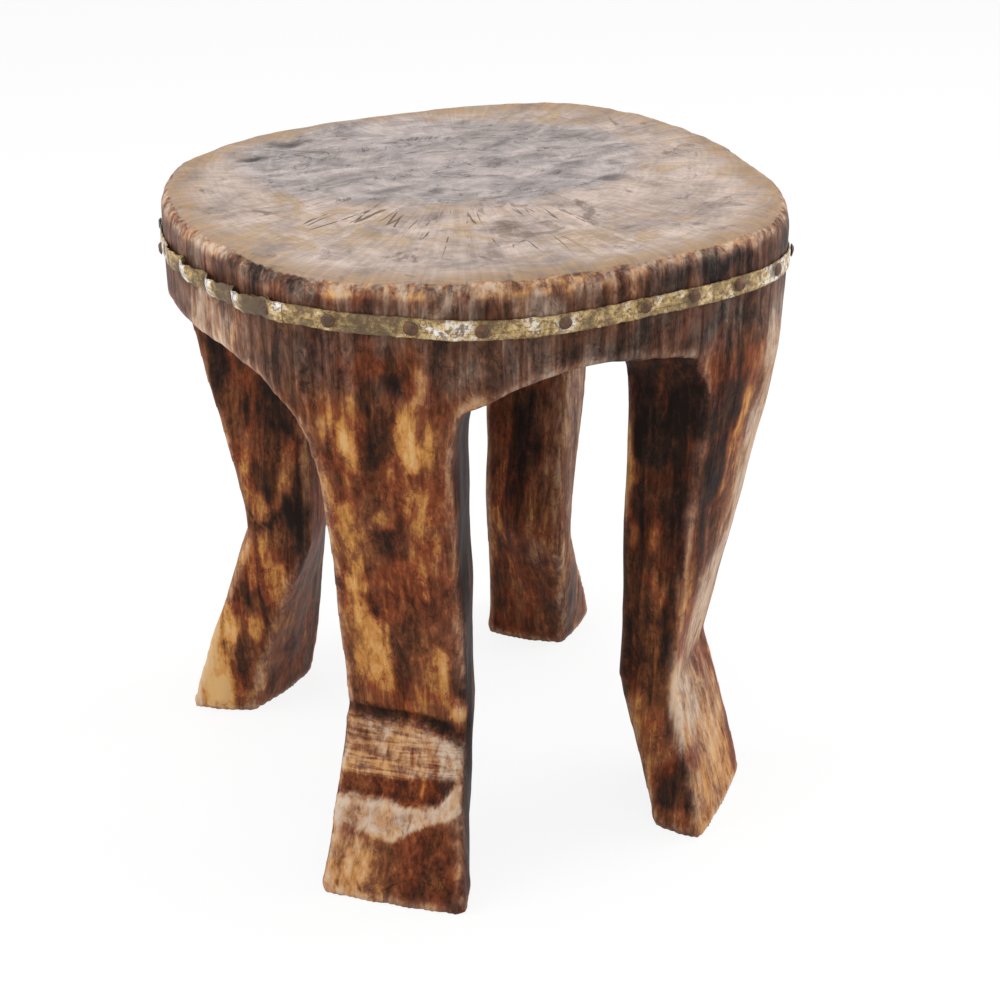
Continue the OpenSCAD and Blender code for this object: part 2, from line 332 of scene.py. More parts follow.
# Marks on the seat's side: azimuth, then height and so on as for the legs
SIDE_MARKS = [
    (-152, 385, 9, 7, -15), (-141, 384, 12, 8, 10), (-126, 384, 15, 8, -15), (-118, 384, 6, 8, 16),
    (-103, 385, 13, 8, 20, 90), (-110, 384, 5, 8, 12), (-94, 384, 26, 8, 7, 20),
    (-66, 384, 40, 9, -22, 25), (-42, 380, 20, 12, -14, 30), (-122, 383, 36, 10, 20, 45),
    (-176, 384, 22, 9, 14, 30), (-170, 352, 40, 16, 28, 50), (-158, 350, 3, 11, 30),
    (-161, 353, 3, 9, 30), (-166, 348, 3, 10, 25), (-144, 354, 18, 10, 0, 10),
    (-128, 350, 26, 14, 2, -30), (-110, 352, 30, 12, 4, 30), (-86, 355, 36, 12, -10, 40),
    (-60, 352, 26, 12, -8, 40), (-36, 350, 26, 16, 10, 50),
]
# Pits in the top: place, radius and depth in millimetres
PITS = [
    (-73, 131, 8, 1.6), (-106, 109, 6, 1.4), (-88, 44, 4, 1.5), (-35, 42, 3.6, 1.2),
    (41, 76, 3.6, 1.6), (94, 89, 3.4, 1.3), (148, 80, 5, 2), (110, 17, 4.5, 1.6),
    (86, -16, 7, 1.1), (54, -43, 3.4, 1.3), (60, 9, 3.4, 1.2), (-36, 93, 10, 0.8),
    (23, 122, 5, 1.3), (-7, 8, 4, 1.2), (115, 56, 4, 1.2),
]
# Pale (+) and dark (-) patches on the top: place and half width along X and Y in
# millimetres, and by what percentage
TOP_MARKS = [
    (-73, 133, 16, 8, -50), (-106, 109, 11, 6, -50), (-45, 18, 22, 8, -40), (-17, 4, 30, 7, -35),
    (87, -16, 12, 9, -50), (63, -32, 20, 6, -30), (47, 16, 26, 8, -25), (103, 14, 14, 7, -35),
    (-36, 93, 12, 8, 50), (-19, 108, 10, 6, 40), (-57, 100, 14, 5, 30), (1, 56, 34, 14, 25),
    (33, 96, 30, 8, -20), (-77, 56, 16, 9, -20),
]
# The dark heart of the top, in millimetres and degrees
HEART = {"middle": (5, 62), "half": (136, 92), "turn": -16}
# The worn band round the rim: azimuth, half width in degrees and percentage paler
RIM_MARKS = [
    (-171, 9, 20), (-152, 10, -22), (-136, 5, 16), (-124, 8, 6), (-113, 4, 22), (-99, 9, 6),
    (-76, 12, 10), (-56, 8, 10), (170, 10, 6),
]
# The part of the rim's worn edge that catches the light: azimuth of its middle,
# where it begins to fade and where it ends, in degrees
LIT_RIM, LIT_FADE, LIT_END = -118, 24, 34


def wood_lines(points):
    """Azimuth, radius and height of each point about the log's axis."""
    x, y, z = (points - AXIS).T
    return np.degrees(np.arctan2(y, x)), np.hypot(x, y), z


def leg_frame(points, leg):
    """Distance across a leg from its middle, and which points belong to the leg."""
    out = polar(LEGS[leg])
    x, y, z = (points - AXIS).T
    across = -x * out.y + y * out.x
    away = x * out.x + y * out.y
    return across, (away > LEG_START) & (np.abs(across) < LEG_HALF) & (z < LEG_TOP)


def facing(normals, leg):
    """1 where the surface faces straight out along a leg, 0 where it is square to that."""
    return normals @ np.array(polar(LEGS[leg]))


def spread(points, middle, width, height):
    """1 at the middle of a mark, fading to 0 round it."""
    gap = (points - np.array(middle)) / (width, width, height)
    return np.exp(-((gap ** 2).sum(1)) ** 2.2)


def foot_lines(points, normals):
    """The front left leg's outer face, distance across it and the heights of the
    cuts on its foot: the crease, the upper and the lower edge of the shelf below
    it, and the lower edge of the smooth facet."""
    across, near = leg_frame(points, "front_left")
    front = near * step(0.2, 0.7, facing(normals, "front_left"))
    crease = 0.107 - 9 * np.clip(across, 0, None) ** 2
    ledge = 0.0735 + 0.06 * across
    shelf = 0.059 + 1.2 * np.clip(across - 0.022, 0, None)
    facet = 0.038 + np.where(across > -0.004, 0.47, -0.23) * (across + 0.004)
    return front, across, crease, ledge, shelf, facet


def carve(points, normals, settings):
    """The worn and hand-cut surface as distances along the normals."""
    azimuth, radius, z = wood_lines(points)
    up = normals[:, 2]
    top = step(0.5, 0.9, up) * step(0.38, 0.39, z)
    legs = (1 - top) * step(0.385, 0.33, z)

    # Adze cuts, the sway of the hand and the fine grain
    flat_edge = 0.75
    cut = (settings.scoop_width, settings.scoop_width, settings.scoop_height)
    scoop = np.minimum(cells(points, cut, 2), flat_edge) / flat_edge
    move = settings.scoop_depth * (scoop ** 2 - 1) * (0.35 + 0.65 * legs) * (1 - top)
    move += settings.sway * lumps(points, 0.055, 3) * (0.25 + 0.75 * legs)
    move += 0.0004 * lumps(points, (0.012, 0.012, 0.05), 5) * (1 - top)

    # The rim's upper edge, bitten and rubbed away
    rim = step(0.386, 0.394, z) * step(0.15, 0.5, np.hypot(normals[:, 0], normals[:, 1]))
    bites = np.clip(lumps(points, (0.014, 0.014, 0.03), 8) + 0.1, 0, 1)
    bites += 0.6 * np.clip(lumps(points, (0.005, 0.005, 0.02), 10), 0, 1)
    move -= settings.nibble * rim * bites
    outer_part = step(0.86, 0.97, radius / 0.18)
    move -= 0.0008 * top * outer_part * np.clip(lumps(points, 0.03, 9), 0, 1)

    # The top's waves and pits
    move += top * (0.0007 * lumps(points, (0.03, 0.016, 0.03), 11)
                   - 0.0005 * np.clip(lumps(points, (0.016, 0.008, 0.02), 12), 0, 1))
    floor_plan = points * (1, 1, 0)
    for x, y, wide, deep in PITS:
        move -= top * deep * MM * spread(floor_plan, (x * MM, y * MM, 0), wide * MM, 1)

    # The cuts on the foot: how far each stands out (+) or goes in (-)
    front, _, crease, ledge, shelf, facet = foot_lines(points, normals)
    for proud, share in (
            (-0.0022, ridge(z - crease, 0.0035)), (0.0012, ridge(z - crease + 0.008, 0.005)),
            (-0.002, step(0.001, -0.002, z - ledge) * step(-0.002, 0.003, z - shelf)),
            (0.001, ridge(z - shelf + 0.003, 0.003)), (0.0014, ridge(z - facet, 0.005))):
        move += proud * front * share

    # Nothing swells under the strip, and the soles stay flat
    sole = step(0.002, 0.014, z)
    clear = step(0.007, 0.012, np.abs(z - along_line(strip_line(), azimuth)))
    move = np.where(up < -0.7, move * sole, move)
    outward = np.clip(move, 0, None) * np.where((z > 0.335) & (z < 0.392), clear * 0.4, 1)
    return (np.clip(move, None, 0) + outward) * np.maximum(sole, 0.35)


def wood_tones(points, normals, body):
    """How pale and how grey the wood's sides are at each point away from the top,
    with painted highlights and painted shade among the marks, and where the foot is left rough."""
    azimuth, _, z = wood_lines(points)
    up = normals[:, 2]
    warp = wobble(points, (0.016, 0.016, 0.034), 21)
    warp += 0.6 * wobble(points, (0.007, 0.007, 0.022), 24)
    loose = points + warp * (0.0045, 0.0045, 0.01)
    seat = step(0.325, 0.345, z)
    tone = np.full(len(points), 0.36)
    grey = 0.03 + 0.3 * seat

    def add(mark, shade, grey_and_sheen):
        tone[:] += shade * PERCENT * mark
        grey[:] += sum(grey_and_sheen) * PERCENT * mark

    for leg, (outer, side) in LEG_TONES.items():
        _, near = leg_frame(points, leg)
        base = side + (outer - side) * step(0.35, 0.75, facing(normals, leg))
        tone[:] = np.where(near, base * (1 - seat) + tone * seat, tone)
        for face in ("outer", "inner", "left", "right"):
            unit = MM if face in ("outer", "inner") else PERCENT
            for across, high, wide, tall, shade, *grey_and_sheen in LEG_MARKS.get((leg, face), ()):
                middle = on_leg(body, leg, face, across * unit, high * MM)
                mark = spread(loose, middle, MARK_WIDE * wide * MM, MARK_TALL * tall * MM)
                add(mark, max(shade, MARK_DARK * shade), grey_and_sheen)
    for turn, high, wide, tall, shade, *grey_and_sheen in SIDE_MARKS:
        middle = on_log(body, turn, high * MM)
        add(spread(loose, middle, wide * MM, tall * MM), shade, grey_and_sheen)

    # The foot, from the rough cut under the crease down to the stained toe. The rough cut is paler
    # partly as painted light on its upturned face, and the smooth facet's pale grey is a painted
    # sheen
    front, across, crease, ledge, shelf, facet = foot_lines(points, normals)
    high = z + 0.0012 * lumps(points, 0.012, 27) + 0.0008 * lumps(points, 0.005, 28)
    blur = 0.0016

    def between(low, top):
        return front * step(-blur, blur, top - high) * step(-blur, blur, high - low)

    rough = between(ledge, crease - 0.003)
    step_in = between(shelf, ledge)
    smooth = between(facet, np.minimum(shelf, ledge))
    toe = front * step(-blur, blur, facet - high)
    stained = toe * step(-0.022, -0.002, across)
    pale = toe * step(-0.002, -0.022, across)
    # rough: paler partly as painted light; smooth: a painted sheen on the facet
    tone += 0.18 * rough - 0.02 * step_in + 0.35 * smooth - 0.07 * stained + 0.16 * pale
    grey += 0.25 * rough - 0.1 * step_in + 0.7 * smooth + 0.2 * pale
    # A painted shade line along the crease
    tone -= 0.1 * front * ridge(high - crease - 0.001, 0.003)

    # The seat's underside, darkened as painted shade, and the rim's worn edge with a painted
    # highlight where it catches the light
    tone -= 0.1 * step(-0.5, -0.9, up) * step(0.3, 0.32, z)
    rim = step(0.12, 0.3, up) * step(0.98, 0.9, up) * step(0.38, 0.385, z)
    for turn, wide, shade in RIM_MARKS:
        gap = turn_gap(azimuth + 3 * warp[:, 0], turn) / wide
        tone += shade * PERCENT * rim * np.exp(-gap ** 4)
    # A painted highlight along the rim's worn edge where it catches the light
    lit = ridge(up - 0.24, 0.13) * step(0.38, 0.386, z)
    lit *= np.clip(lumps(points, (0.009, 0.009, 0.02), 61) + 0.15, 0, 1)
    lit *= step(LIT_END, LIT_FADE, np.abs(turn_gap(azimuth, LIT_RIM)))
    return tone + 0.42 * lit, np.clip(grey - 0.5 * lit, 0, 1), rough


def top_tones(points):
    """Where the dark heart lies on the top, and how pale its patches are."""
    loose = (points + wobble(points, 0.03, 31) * 0.007)[:, :2]
    turn = math.radians(HEART["turn"])
    x, y = (loose - np.array(HEART["middle"]) * MM).T
    wide, deep = HEART["half"]
    along = (x * math.cos(turn) + y * math.sin(turn)) / (wide * MM)
    across = (-x * math.sin(turn) + y * math.cos(turn)) / (deep * MM)
    patch = np.zeros(len(points))
    for px, py, half_x, half_y, shade in TOP_MARKS:
        gap = (loose - np.array([px, py]) * MM) / (np.array([half_x, half_y]) * MM)
        patch += shade * PERCENT * np.exp(-((gap ** 2).sum(1)) ** 1.3)
    return step(1.08, 0.8, np.hypot(along, across)), patch


def top_border(points, body):
    """How near each point of the top is to the rim, from 0 at 3/4 of the way to 1."""
    turns = np.arange(-180, 180, 3.0)
    reach = [(on_log(body, turn, 0.387) - LOG_AXIS).to_2d().length for turn in turns]
    azimuth, radius, _ = wood_lines(points)
    return step(0.76, 0.98, radius / np.interp(azimuth, turns, reach, period=360))


def bend_of(mesh, rounds):
    """How proud (+) or hollow (-) the surface is at each vertex, over a few grid steps."""
    points, normals = surface(mesh)
    ends = np.empty(len(mesh.edges) * 2, dtype=np.int32)
    mesh.edges.foreach_get("vertices", ends)
    a, b = ends[::2], ends[1::2]
    count = np.bincount(ends, minlength=len(points)).clip(1)

    def average(values):
        total = np.zeros_like(values)
        for one, other in ((a, b), (b, a)):
            np.add.at(total, one, values[other])
        return total / (count[:, None] if values.ndim > 1 else count)

    mean = points
    for _ in range(rounds):
        mean = average(mean)
    return average(average(((points - mean) * normals).sum(1)))


class STOOL_OT_carve_wood(bpy.types.Operator):
    """Carves and paints the stool's one block of wood"""
    bl_idname = "stool.carve_wood"
    bl_label = "Carve the Wood"

    def execute(self, context):
        settings = context.scene.stool_wood
        wood = merged_copy("stool_wood", "carved_body")
        body = merged_copy("log_gauge", "carved_body")
        apply_modifier(wood, "REMESH", mode="VOXEL", voxel_size=settings.grid)
        apply_modifier(wood, "SMOOTH", factor=0.5, iterations=4)
        mesh = wood.data
        points, normals = surface(mesh)
        moved = points + normals * carve(points, normals, settings)[:, None]
        moved[:, 2] = np.clip(moved[:, 2], 0, RIM_Z)
        sole = (points[:, 2] < 0.0012) & (normals[:, 2] < -0.6)
        moved[:, 2] = np.where(sole, 0, moved[:, 2])
        put_points(mesh, moved)

        points, normals = surface(mesh)
        up, z = normals[:, 2], points[:, 2]
        tone, grey, rough = wood_tones(points, normals, body)
        heart, patch = top_tones(points)
        bend = bend_of(mesh, 3)
        layers = {
            "tone": tone, "grey": grey, "rough": rough, "heart": heart, "patch": patch,
            "top": step(0.82, 0.97, up) * step(0.388, 0.394, z),
            "rim": step(0.12, 0.4, up) * step(1.0, 0.92, up) * step(0.384, 0.39, z),
            "border": top_border(points, body),
            # proud: convex edges, drawn paler as wear and a painted highlight; hollow: drawn
            # darker as painted shade
            "proud": step(0.00008, 0.0005, bend), "hollow": step(0.00005, 0.0004, -bend),
        }
        for name, values in layers.items():
            paint(mesh, name, values)
        bpy.data.objects.remove(body)
        pick(wood)
        bpy.ops.object.shade_smooth()
        mesh.materials.append(wood_material(settings))
        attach(wood, "root")
        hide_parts("carved_body")
        return {"FINISHED"}


# ------------------------------------------------------- strip and tacks

# Half the strip's width, how far it keeps off the wood, and its faces along and across
STRIP_HALF, STRIP_SPACE, STRIP_GRID = 0.0055, 0.0003, (1080, 12)
# The lap: degrees to each side of its tack, degrees before it where the upper end
# begins to climb, over how many it climbs and how high
LAP_HALF, LAP_CLIMB, CLIMB_TURN, CLIMB = 3.6, 7.6, 3, 0.0012
# Where the strip has come loose: azimuth, half width and fade in degrees
LOOSE, LOOSE_HALF, LOOSE_FADE = -166, 24, 8
# Where the strip's lower part is folded and where it is drawn darker along the fold,
# from -1 at its lower edge to 1 at the upper one
FOLD_LINE, DARK_LINE = -0.38, -0.36
# Where the strip shows more bare zinc (+) or more rust (-): azimuth, half width
# in degrees and percentage
BARE_ZINC = [
    (-152, 10, -35), (-138, 6, -10), (-116, 5, 50), (-100, 4, 35), (-90, 6, -10), (-76, 5, 25),
    (-64, 4, 10), (-46, 8, 50), (170, 16, 25), (-130, 4, -15),
]
# A tack's head radius, the height of its dome, its shank's radius and its length
TACK_HEAD, TACK_DOME, TACK_SHANK, TACK_LENGTH = 0.0038, 0.002, 0.0009, 0.014


def tack_places():
    """Place of each tack's head against the strip, the way out of the wood and its azimuth."""
    places = {}
    for name in TACKS:
        points = vectors(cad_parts[name].data.vertices, "co")
        reach = np.hypot(*(points - AXIS)[:, :2].T)
        tip = points[reach.argmin()]
        apex = points[np.linalg.norm(points - tip, axis=1).argmax()]
        way = Vector(apex - tip).normalized()
        flat = Vector(apex) - LOG_AXIS
        places[name] = (Vector(apex), way, math.degrees(math.atan2(flat.y, flat.x)))
    return places


def strip_line():
    """Azimuth and height of the CAD strip's middle, in order round the rim."""
    azimuth, _, z = wood_lines(vectors(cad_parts["rim_strip"].data.vertices, "co"))
    every = 3
    turns = np.round(azimuth / every).astype(int)
    line = []
    for turn in np.unique(turns):
        high = z[turns == turn]
        if -180 <= every * turn < 180:
            line.append((every * turn, (high.max() + high.min()) / 2))
    return np.array(line, dtype=float).T


def along_line(line, azimuth):
    """Height of the strip's middle at an azimuth, or at each of several."""
    return np.interp(turn_gap(np.asarray(azimuth), 0), *line, period=360)


def strip_stations(azimuths, settings):
    """At each azimuth: the strip's height and radius, how far it stands off,
    how loose it is and the share of the way from one tack to the next."""
    body = merged_copy("log_gauge", "carved_body")
    places = tack_places()
    tacks = sorted(place[2] for place in places.values())
    climb_from = places[LAP_TACK][2] + 360 - LAP_CLIMB
    line = strip_line()
    found = {}
    for azimuth in azimuths:
        middle = float(along_line(line, azimuth))
        hits = [on_log(body, azimuth, middle + gap) - LOG_AXIS for gap in (0.004, -0.004)]
        radius = max(hit.to_2d().length for hit in hits)
        gaps = [turn_gap(azimuth, tack) for tack in tacks]
        behind, ahead = min(gap % 360 for gap in gaps), min(-gap % 360 for gap in gaps)
        swing = behind / max(behind + ahead, 0.01)
        loose = (LOOSE_HALF - abs(turn_gap(azimuth, LOOSE))) / LOOSE_FADE
        loose = min(1, max(0, loose))
        uneven = 0.6 + 0.8 * noise.noise(polar(azimuth, 3) * 1.7)
        lift = settings.lift * math.sin(math.pi * swing) * uneven
        lift += settings.loose_lift * loose * math.sin(math.pi * swing ** 0.6) ** 1.2
        lift += CLIMB * step(0, CLIMB_TURN, azimuth - climb_from)
        found[azimuth] = middle, radius, max(0, lift), loose, swing
    bpy.data.objects.remove(body)
    return found


def bent_strip(azimuths, high, settings):
    """Where each vertex of the strip comes to lie, and how bare it is, with a painted
    highlight where a loose bulge turns to the light. high runs from -1 at the strip's lower edge
    to 1 at the upper one."""
    stations = strip_stations(np.unique(azimuths), settings)
    bare = np.zeros(len(high))
    for turn, wide, strength in BARE_ZINC:
        bare += strength * PERCENT * ridge(turn_gap(azimuths, turn), wide)
    points = np.empty((len(high), 3))
    for row, (azimuth, v) in enumerate(zip(azimuths, high)):
        middle, radius, lift, loose, swing = stations[azimuth]
        # A loose stretch is drawn darker, with a painted highlight just past each tack where its
        # bulge turns to the light
        flash = ridge(swing - 0.26, 0.17)
        bare[row] += loose * (1.6 * flash - 0.4)
        ragged = 0.0005 * noise.noise(polar(azimuth, 22)) * abs(v) ** 3
        ragged += 0.0004 * noise.noise(polar(azimuth, 60)) * abs(v) ** 6
        wander = 0.12 * noise.noise(polar(azimuth, 9, v * 0.4))
        fold = settings.fold / (1 + math.exp((v - FOLD_LINE + wander) * 26))
        curl = 0.0007 * loose * v ** 2 * math.sin(azimuth * 2.1 + 3 * v)
        dent = 0.00022 * noise.noise(polar(azimuth, 26, v * 1.3))
        bow = lift * (1 - 0.35 * v * v + 0.3 * loose * v)
        radius += STRIP_SPACE + max(0, bow + fold + dent + curl)
        z = middle + v * STRIP_HALF + math.copysign(1, v) * ragged
        points[row] = LOG_AXIS + polar(azimuth, radius, z)
    return points, bare


class STOOL_OT_bend_strip(bpy.types.Operator):
    """Bends the metal strip round the rim, from one end of its lap to the other"""
    bl_idname = "stool.bend_strip"
    bl_label = "Bend the Rim Strip"

    def execute(self, context):
        settings = context.scene.stool_trim
        lap = tack_places()[LAP_TACK][2]
        bpy.ops.object.select_all(action="DESELECT")
        along, across = STRIP_GRID
        bpy.ops.mesh.primitive_grid_add(x_subdivisions=along, y_subdivisions=across, size=2)
        strip = context.active_object
        strip.name = strip.data.name = "metal_strip"
        flat = vectors(strip.data.vertices, "co")
        shares, high = np.round((flat[:, 0] + 1) / 2, 6), flat[:, 1]
        azimuths = lap - LAP_HALF + (360 + 2 * LAP_HALF) * shares
        points, bare = bent_strip(azimuths, high, settings)
        paint(strip.data, "across", high)
        paint(strip.data, "bare", bare)
        put_points(strip.data, points)
        pick(strip)
        bpy.ops.object.mode_set(mode="EDIT")
        turn_outward()
        bpy.ops.object.mode_set(mode="OBJECT")
        face = strip.data.polygons[len(strip.data.polygons) // 2]
        if Vector(face.normal).dot(Vector(face.center) - LOG_AXIS) < 0:
            strip.data.flip_normals()
        apply_modifier(strip, "SOLIDIFY", thickness=settings.gauge, offset=1)
        pick(strip)
        bpy.ops.object.shade_smooth_by_angle(angle=math.radians(40))
        strip.data.materials.append(strip_material(settings))
        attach(strip, "root")
        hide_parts("rim_strip")
        return {"FINISHED"}


def extrude_down(depth):
    """In edit mode, draws the chosen edges out downward."""
    bpy.ops.mesh.extrude_edges_move(TRANSFORM_OT_translate={"value": (0, 0, -depth)})


def tack_pattern():
    """One domed tack on the origin, its point down, with its head's apex at z = 0."""
    bulge, brim, point = 0.8 * TACK_DOME, 0.2 * TACK_DOME, 4 * TACK_SHANK
    slim = TACK_SHANK / TACK_HEAD
    edit = bpy.ops.mesh
    bpy.ops.object.select_all(action="DESELECT")
    edit.primitive_uv_sphere_add(segments=20, ring_count=14, radius=TACK_HEAD)
    tack = bpy.context.active_object
    bpy.ops.object.mode_set(mode="EDIT")
    select_where(tack, lambda place: place.z < -0.0001 * TACK_HEAD)
    edit.delete(type="VERT")
    edit.select_all(action="SELECT")
    bpy.ops.transform.resize(value=(1, 1, bulge / TACK_HEAD))
    select_where(tack, lambda place: place.z < 0.02 * TACK_DOME)
    edit.select_mode(type="EDGE")
    extrude_down(brim)
    edit.extrude_edges_move()
    bpy.ops.transform.resize(value=(slim, slim, 1))
    extrude_down(TACK_LENGTH - point)
    extrude_down(point)
    edit.merge(type="CENTER")
    edit.select_mode(type="VERT")
    edit.select_all(action="SELECT")
    edit.remove_doubles(threshold=0.001 * MM)
    turn_outward()
    bpy.ops.transform.translate(value=(0, 0, -bulge))
    bpy.ops.object.mode_set(mode="OBJECT")
    bpy.ops.object.shade_smooth_by_angle(angle=math.radians(50))
    return tack


class STOOL_OT_drive_tacks(bpy.types.Operator):
    """Drives a hammered tack into the wood at each of its places"""
    bl_idname = "stool.drive_tacks"
    bl_label = "Drive the Tacks"

    def execute(self, context):
        pattern = tack_pattern()
        finish = tack_material(context.scene.stool_trim)
        for number, (name, (apex, way, _)) in enumerate(tack_places().items()):
            mesh = pattern.data.copy()
            tack = placed("tack_head" + name[4:], mesh)
            mesh.name = tack.name
            points = vectors(mesh.vertices, "co")
            crown = np.clip(1 + points[:, 2] / TACK_DOME, 0, 1)
            points[:, 2] += 0.0004 * crown * lumps(points, 0.0028, number + 40)
            wide = 1 + 0.06 * crown * lumps(points, 0.004, number + 80)
            points[:, :2] *= wide[:, None] * (1 + 0.06 * math.sin(5.3 * number))
            put_points(mesh, points)
            turn = way.to_track_quat("Z", "Y").to_matrix().to_4x4()
            mesh.transform(Matrix.Translation(apex) @ turn @ Matrix.Rotation(2.4 * number, 4, "Z"))
            mesh.update()
            mesh.materials.append(finish)
            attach(tack, "root")
            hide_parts(name)
        bpy.data.objects.remove(pattern)
        return {"FINISHED"}


# --------------------------------------------------------------- finishes

# The middle of the end grain, and the way that its checks run from there
PITH, CHECKS_FACE = (0.012, 0.05, 0), (-0.52, -0.85, 0)


def tint(colour, factor=1):
    return tuple(min(1, part * factor) for part in colour)


class Nodes:
    """An empty node tree that is filled step by step. Each step adds one node
    and, apart from put and group, gives the output that the next steps take."""

    def __init__(self, tree):
        tree.nodes.clear()
        self.tree = tree

    def put(self, kind, feeds=(), **options):
        """Adds a node, sets its options and feeds its inputs with values or sockets."""
        made = self.tree.nodes.new(kind if kind.startswith("Node") else "ShaderNode" + kind)
        count = len(self.tree.nodes) - 1
        made.location = (240 * (count % 9), -300 * (count // 9))
        for option, value in options.items():
            setattr(made, option, value)
        for key, value in dict(feeds).items():
            if isinstance(value, bpy.types.NodeSocket):
                self.tree.links.new(value, made.inputs[key])
            else:
                made.inputs[key].default_value = value
        return made

    def group(self, tree, feeds):
        return self.put("Group", feeds, node_tree=tree).outputs

    def sum(self, operation, a, b=0.0, c=0.0, clamp=False):
        return self.put("Math", {0: a, 1: b, 2: c}, operation=operation,
                        use_clamp=clamp).outputs[0]

    def plus(self, a, b):
        return self.sum("ADD", a, b)

    def minus(self, a, b):
        return self.sum("SUBTRACT", a, b)

    def times(self, a, b, clamp=False):
        return self.sum("MULTIPLY", a, b, clamp=clamp)

    def fused(self, a, b, c):
        """a times b, plus c."""
        return self.sum("MULTIPLY_ADD", a, b, c)

    def size(self, a):
        return self.sum("ABSOLUTE", a)

    def larger(self, a, b):
        return self.sum("MAXIMUM", a, b)

    def vector(self, operation, a, b=(0, 0, 0), out="Vector"):
        return self.put("VectorMath", {0: a, 1: b}, operation=operation).outputs[out]

    def spaced(self, where, factors):
        return self.vector("MULTIPLY", where, factors)

    def xyz(self, **parts):
        return self.put("CombineXYZ", parts).outputs[0]

    def noisy(self, where, scale, detail=3.0, rough=0.55, warp=0.0):
        feeds = {"Vector": where, "Scale": scale, "Detail": detail, "Roughness": rough,
                 "Distortion": warp}
        return self.put("TexNoise", feeds).outputs["Fac"]

    def between(self, value, low, high, start=0.0, end=1.0):
        """A smooth step from start, where the value is low, to end, where it is high."""
        feeds = {"Value": value, "From Min": low, "From Max": high, "To Min": start,
                 "To Max": end}
        return self.put("MapRange", feeds, interpolation_type="SMOOTHSTEP").outputs["Result"]

    def blend(self, share, a, b, kind="MIX"):
        a, b = [(*part, 1) if isinstance(part, tuple) else part for part in (a, b)]
        return self.put("Mix", {0: share, 6: a, 7: b}, data_type="RGBA",
                        blend_type=kind).outputs[2]

    def ramp(self, value, *stops):
        """Colours along a value. Each stop is a place, a colour and a factor on it."""
        made = self.put("ValToRGB", {"Fac": value})
        bar = made.color_ramp
        while len(bar.elements) < len(stops):
            bar.elements.new(0.5)
        for element, (place, colour, *factor) in zip(bar.elements, stops):
            element.position = place
            element.color = (*tint(colour, *factor), 1)
        return made.outputs["Color"]

    def painted(self, name):
        return self.put("Attribute", attribute_name=name).outputs["Fac"]

    def bump(self, height, strength, distance):
        feeds = {"Height": height, "Strength": strength, "Distance": distance}
        return self.put("Bump", feeds).outputs[0]

    def close(self, feeds):
        """Ends a material in one Principled shader."""
        shader = self.put("BsdfPrincipled", feeds)
        self.put("OutputMaterial", {"Surface": shader.outputs["BSDF"]})


def new_material(name):
    """A material, its nodes and the place on the object that they start from."""
    material = bpy.data.materials.new(name)
    material.use_nodes = True
    n = Nodes(material.node_tree)
    return material, n, n.put("TexCoord").outputs["Object"]


def shared_group(name, inputs, outputs, build):
    """A node group that is built once and then used again."""
    if name in bpy.data.node_groups:
        return bpy.data.node_groups[name]
    tree = bpy.data.node_groups.new(name, "ShaderNodeTree")
    for label, value in inputs.items():
        kind = "NodeSocketFloat" if isinstance(value, float) else "NodeSocketVector"
        socket = tree.interface.new_socket(label, in_out="INPUT", socket_type=kind)
        socket.default_value = value
    for label in outputs:
        tree.interface.new_socket(label, in_out="OUTPUT", socket_type="NodeSocketFloat")
    n = Nodes(tree)
    made = build(n, n.put("NodeGroupInput").outputs)
    n.put("NodeGroupOutput", dict(zip(outputs, made)))
    return tree


def long_grain():
    """Streaks, fibres and broad patches that run up the log."""
    def build(n, source):
        where = source["Vector"]
        streaks = n.noisy(n.spaced(where, (175, 175, 11)), 1, 4, 0.55, 0.9)
        fibres = n.noisy(n.spaced(where, (800, 800, 60)), 1, 3, 0.6, 0.3)
        broad = n.noisy(n.spaced(where, (48, 48, 12)), 1, 4, 0.6, 0.8)
        return streaks, fibres, broad
    return shared_group("Long grain", {"Vector": (0, 0, 0)},
                        ["Streaks", "Fibres", "Patches"], build)


def end_grain():
    """Rings, radial checks, pores and rays of wood cut across, about its heart."""
    def build(n, source):
        flat = n.spaced(n.vector("SUBTRACT", source["Vector"], source["Heart"]), (1, 1, 0))
        reach = n.vector("LENGTH", flat, out="Value")
        way = n.vector("NORMALIZE", flat)
        rings = n.noisy(n.xyz(X=n.fused(n.noisy(flat, 14, 3), 0.03, reach)), 420, 2, 0.7)
        out = n.xyz(Z=n.times(reach, 9))
        spoke = n.vector("ADD", n.spaced(way, (13, 13, 13)), out)
        split = n.put("TexVoronoi", {"Vector": spoke, "Scale": 1.0},
                      feature="DISTANCE_TO_EDGE").outputs["Distance"]
        width = n.fused(n.between(n.noisy(flat, 34, 2), 0.48, 0.62), 0.046, -0.015)
        inside = n.times(n.between(reach, 0.075, 0.11), n.between(reach, 0.19, 0.15))
        facing = n.vector("DOT_PRODUCT", way, CHECKS_FACE, out="Value")
        inside = n.times(inside, n.between(facing, 0.6, 0.85, 0.1, 1))
        checks = n.times(n.between(n.minus(split, width), 0.012, -0.012), inside)
        pores = n.between(n.noisy(flat, 1100, 1, 0.5), 0.66, 0.74)
        rays = n.noisy(n.vector("ADD", n.spaced(way, (60, 60, 60)), out), 1, 3, 0.6)
        rays = n.fused(n.minus(rays, 0.5), n.between(reach, 0.035, 0.11, 0.1, 1), 0.5)
        return rings, checks, pores, rays
    return shared_group("End grain", {"Vector": (0, 0, 0), "Heart": (0, 0, 0)},
                        ["Rings", "Checks", "Pores", "Rays"], build)


